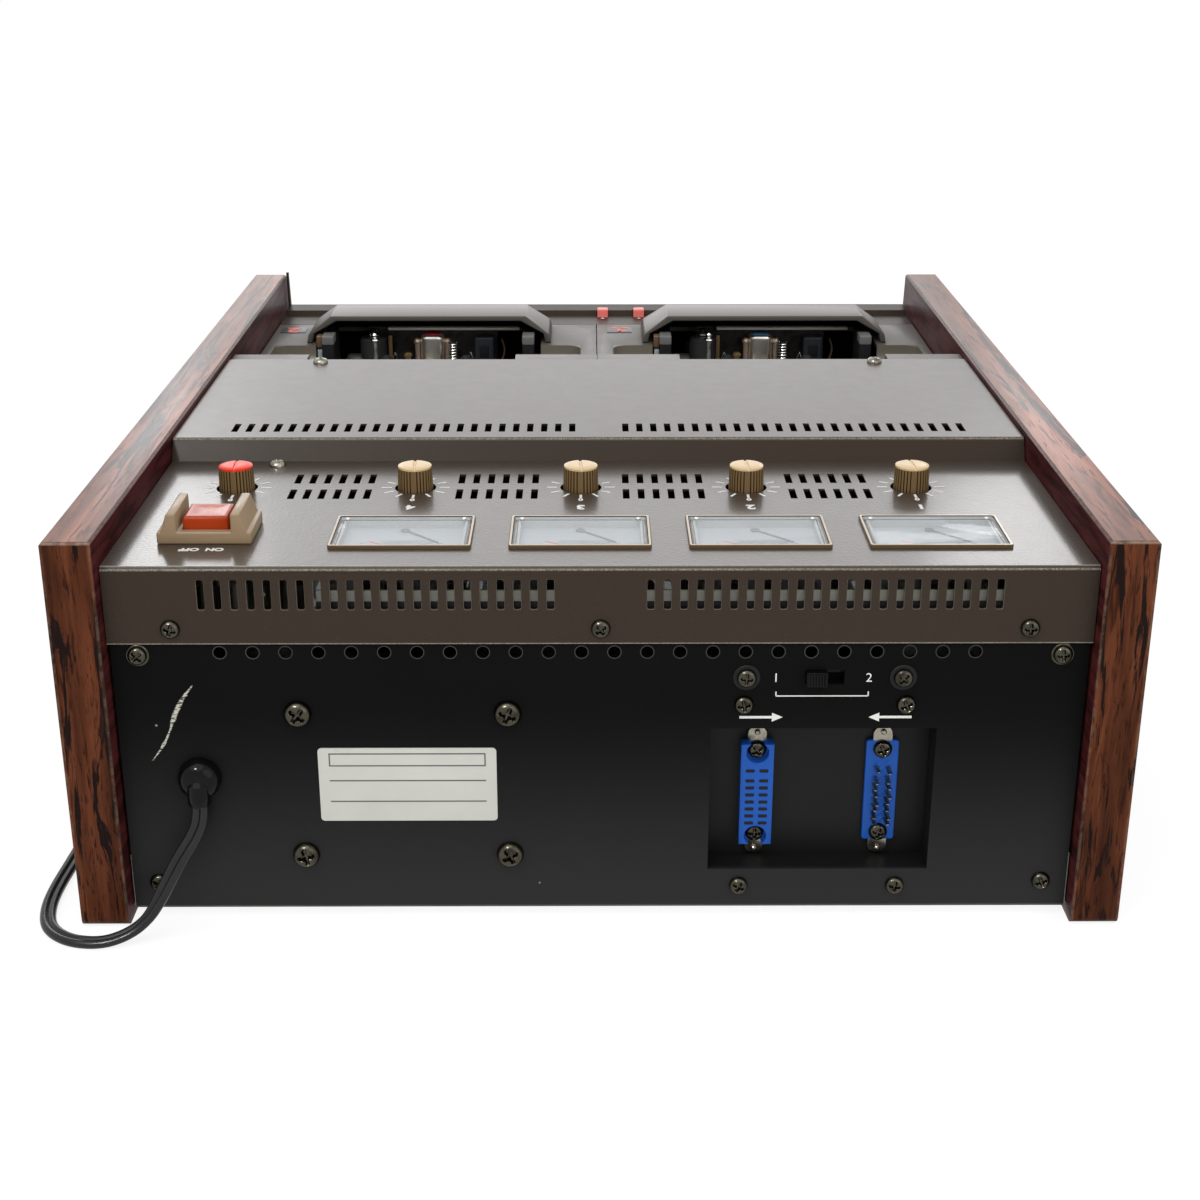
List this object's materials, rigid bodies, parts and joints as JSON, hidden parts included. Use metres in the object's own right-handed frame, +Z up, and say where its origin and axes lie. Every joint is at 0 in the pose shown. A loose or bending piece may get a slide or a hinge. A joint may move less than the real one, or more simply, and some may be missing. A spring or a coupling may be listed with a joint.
{
  "type": "cassette duplicator",
  "caption": "Desktop tape cassette duplicator with two wells, level meters, knobs and a rear connector bay between wooden side panels.",
  "frame": {"origin": "centre of the footprint of the case, on the surface that the side panels stand on, measured without the cord", "axes": "+X to the user's right, +Y to the rear panel, +Z up"},
  "size_m": [0.498, 0.507, 0.1575],
  "materials": {
    "rosewood": "satin varnished rosewood veneer",
    "taupe_paint": "fine-textured semi-gloss paint",
    "black_paint": "satin black paint",
    "dark_paint": "satin dark grey paint",
    "deck_plastic": "fine matt texture",
    "hood_plastic": "satin",
    "zinc_steel": "zinc plated sheet",
    "screw_steel": "nickel plated",
    "blue_plastic": "moulded connector body",
    "black_plastic": "glossy black",
    "cord_plastic": "soft glossy black",
    "plate_foil": "printed foil",
    "knob_plastic": "satin",
    "orange_plastic": "satin orange red",
    "red_plastic": "satin red",
    "bezel_plastic": "satin bronze",
    "meter_glass": "clear",
    "meter_plastic": "pale dial",
    "needle_metal": "painted black",
    "board_laminate": "circuit laminate",
    "iron_core": "laminated core and winding",
    "wheel_metal": "turned",
    "belt_rubber": "ground rubber",
    "head_metal": "polished head can",
    "roller_rubber": "matt rubber tyre",
    "reel_plastic": "satin black",
    "key_plastic": "satin grey"
  },
  "bodies": {
    "case": {"base_pan": "zinc_steel", "circuit_board": "board_laminate", "connector_recess": "black_paint", "control_cover": "taupe_paint", "cord_coil": "cord_plastic", "deck_panel_left": "deck_plastic", "deck_panel_right": "deck_plastic", "drive_belt": "belt_rubber", "drive_motor": "zinc_steel", "front_panel": "dark_paint", "guide_posts": "bezel_plastic", "head_hoods": "hood_plastic", "meter_bezels": "bezel_plastic", "meter_cases": "meter_plastic", "meter_glasses": "meter_glass", "pin_connector": "blue_plastic", "potentiometers": "zinc_steel", "power_cord": "cord_plastic", "power_plug": "cord_plastic", "power_switch": "bezel_plastic", "power_transformer": "iron_core", "rating_plate": "plate_foil", "rear_panel": "black_paint", "screws": "screw_steel", "side_panel_left": "rosewood", "side_panel_right": "rosewood", "slide_switch": "black_plastic", "slotted_cover": "taupe_paint", "socket_connector": "blue_plastic", "strain_relief": "black_plastic", "transport_frame": "zinc_steel"},
    "master_knob": {"master_knob": "knob_plastic"},
    "level_knob_1": {"level_knob_1": "knob_plastic"},
    "level_knob_2": {"level_knob_2": "knob_plastic"},
    "level_knob_3": {"level_knob_3": "knob_plastic"},
    "level_knob_4": {"level_knob_4": "knob_plastic"},
    "meter_needle_1": {"meter_needle_1": "needle_metal"},
    "meter_needle_2": {"meter_needle_2": "needle_metal"},
    "meter_needle_3": {"meter_needle_3": "needle_metal"},
    "meter_needle_4": {"meter_needle_4": "needle_metal"},
    "power_button": {"power_button": "orange_plastic"},
    "slide_switch_knob": {"slide_switch_knob": "black_plastic"},
    "flywheel_right": {"flywheel_right": "zinc_steel"},
    "head_carriage_right": {"head_carriage_right": "zinc_steel", "tape_heads_right": "head_metal"},
    "pinch_roller_right": {"pinch_roller_right": "roller_rubber"},
    "reel_spindle_right_takeup": {"reel_spindle_right_takeup": "reel_plastic"},
    "reel_spindle_right_supply": {"reel_spindle_right_supply": "reel_plastic"},
    "flywheel_left": {"flywheel_left": "zinc_steel"},
    "head_carriage_left": {"head_carriage_left": "zinc_steel", "tape_heads_left": "head_metal"},
    "pinch_roller_left": {"pinch_roller_left": "roller_rubber"},
    "reel_spindle_left_takeup": {"reel_spindle_left_takeup": "reel_plastic"},
    "reel_spindle_left_supply": {"reel_spindle_left_supply": "reel_plastic"},
    "motor_pulley": {"motor_pulley": "wheel_metal"},
    "red_button_1": {"red_button_1": "red_plastic"},
    "red_button_2": {"red_button_2": "red_plastic"},
    "rewind_button": {"rewind_button": "key_plastic"},
    "stop_button": {"stop_button": "key_plastic"},
    "copy_button": {"copy_button": "key_plastic"}
  },
  "joints": [
    {"name": "master_knob_turn", "type": "hinge", "parent": "case", "child": "master_knob", "pos_m": [0.1459, 0.1467, 0.14], "axis": [0, 0, 1], "range_deg": [-150, 150]},
    {"name": "level_knob_1_turn", "type": "hinge", "parent": "case", "child": "level_knob_1", "pos_m": [-0.1257, 0.1467, 0.14], "axis": [0, 0, 1], "range_deg": [-150, 150]},
    {"name": "level_knob_2_turn", "type": "hinge", "parent": "case", "child": "level_knob_2", "pos_m": [-0.0591, 0.1467, 0.14], "axis": [0, 0, 1], "range_deg": [-150, 150]},
    {"name": "level_knob_3_turn", "type": "hinge", "parent": "case", "child": "level_knob_3", "pos_m": [0.0075, 0.1467, 0.14], "axis": [0, 0, 1], "range_deg": [-150, 150]},
    {"name": "level_knob_4_turn", "type": "hinge", "parent": "case", "child": "level_knob_4", "pos_m": [0.0741, 0.1467, 0.14], "axis": [0, 0, 1], "range_deg": [-150, 150]},
    {"name": "meter_needle_1_swing", "type": "hinge", "parent": "case", "child": "meter_needle_1", "pos_m": [-0.1257, 0.192, 0.1415], "axis": [0, 0, 1], "range_deg": [-90, 0]},
    {"name": "meter_needle_2_swing", "type": "hinge", "parent": "case", "child": "meter_needle_2", "pos_m": [-0.0591, 0.192, 0.1415], "axis": [0, 0, 1], "range_deg": [-90, 0]},
    {"name": "meter_needle_3_swing", "type": "hinge", "parent": "case", "child": "meter_needle_3", "pos_m": [0.0075, 0.192, 0.1415], "axis": [0, 0, 1], "range_deg": [-90, 0]},
    {"name": "meter_needle_4_swing", "type": "hinge", "parent": "case", "child": "meter_needle_4", "pos_m": [0.0741, 0.192, 0.1415], "axis": [0, 0, 1], "range_deg": [-90, 0]},
    {"name": "power_button_press", "type": "slide", "parent": "case", "child": "power_button", "axis": [0, 0, -1], "range_m": [0, 0.0025], "stiffness_N_per_m": 250, "springref_m": -0.001},
    {"name": "slide_switch_move", "type": "slide", "parent": "case", "child": "slide_switch_knob", "axis": [-1, 0, 0], "range_m": [0, 0.0062]},
    {"name": "flywheel_right_spin", "type": "hinge", "parent": "case", "child": "flywheel_right", "pos_m": [0.1215, -0.1414, 0.09], "axis": [0, 0, 1], "continuous": true},
    {"name": "head_carriage_right_slide", "type": "slide", "parent": "case", "child": "head_carriage_right", "axis": [0, 1, 0], "range_m": [0, 0.007]},
    {"name": "pinch_roller_right_spin", "type": "hinge", "parent": "head_carriage_right", "child": "pinch_roller_right", "pos_m": [0.1241, -0.157, 0.127], "axis": [0, 0, 1], "continuous": true},
    {"name": "reel_spindle_right_takeup_spin", "type": "hinge", "parent": "case", "child": "reel_spindle_right_takeup", "pos_m": [0.11275, -0.1172, 0.118], "axis": [0, 0, 1], "continuous": true},
    {"name": "reel_spindle_right_supply_spin", "type": "hinge", "parent": "case", "child": "reel_spindle_right_supply", "pos_m": [0.07025, -0.1172, 0.118], "axis": [0, 0, 1], "continuous": true},
    {"name": "flywheel_left_spin", "type": "hinge", "parent": "case", "child": "flywheel_left", "pos_m": [-0.0615, -0.1414, 0.09], "axis": [0, 0, 1], "continuous": true},
    {"name": "head_carriage_left_slide", "type": "slide", "parent": "case", "child": "head_carriage_left", "axis": [0, 1, 0], "range_m": [0, 0.007]},
    {"name": "pinch_roller_left_spin", "type": "hinge", "parent": "head_carriage_left", "child": "pinch_roller_left", "pos_m": [-0.0589, -0.157, 0.127], "axis": [0, 0, 1], "continuous": true},
    {"name": "reel_spindle_left_takeup_spin", "type": "hinge", "parent": "case", "child": "reel_spindle_left_takeup", "pos_m": [-0.07025, -0.1172, 0.118], "axis": [0, 0, 1], "continuous": true},
    {"name": "reel_spindle_left_supply_spin", "type": "hinge", "parent": "case", "child": "reel_spindle_left_supply", "pos_m": [-0.11275, -0.1172, 0.118], "axis": [0, 0, 1], "continuous": true},
    {"name": "motor_pulley_spin", "type": "hinge", "parent": "case", "child": "motor_pulley", "pos_m": [0.03, -0.085, 0.088], "axis": [0, 0, 1], "continuous": true},
    {"name": "red_button_1_press", "type": "slide", "parent": "case", "child": "red_button_1", "axis": [0, 0, -1], "range_m": [0, 0.0012], "stiffness_N_per_m": 250, "springref_m": -0.001},
    {"name": "red_button_2_press", "type": "slide", "parent": "case", "child": "red_button_2", "axis": [0, 0, -1], "range_m": [0, 0.0012], "stiffness_N_per_m": 250, "springref_m": -0.001},
    {"name": "rewind_button_press", "type": "slide", "parent": "case", "child": "rewind_button", "axis": [0, 0.9832, -0.1828], "range_m": [0, 0.002], "stiffness_N_per_m": 250, "springref_m": -0.001},
    {"name": "stop_button_press", "type": "slide", "parent": "case", "child": "stop_button", "axis": [0, 0.9832, -0.1828], "range_m": [0, 0.002], "stiffness_N_per_m": 250, "springref_m": -0.001},
    {"name": "copy_button_press", "type": "slide", "parent": "case", "child": "copy_button", "axis": [0, 0.9832, -0.1828], "range_m": [0, 0.002], "stiffness_N_per_m": 250, "springref_m": -0.001}
  ],
  "couplings": [
    {"joint": "flywheel_left_spin", "follows": "flywheel_right_spin", "ratio": 1},
    {"joint": "motor_pulley_spin", "follows": "flywheel_right_spin", "ratio": 5}
  ]
}
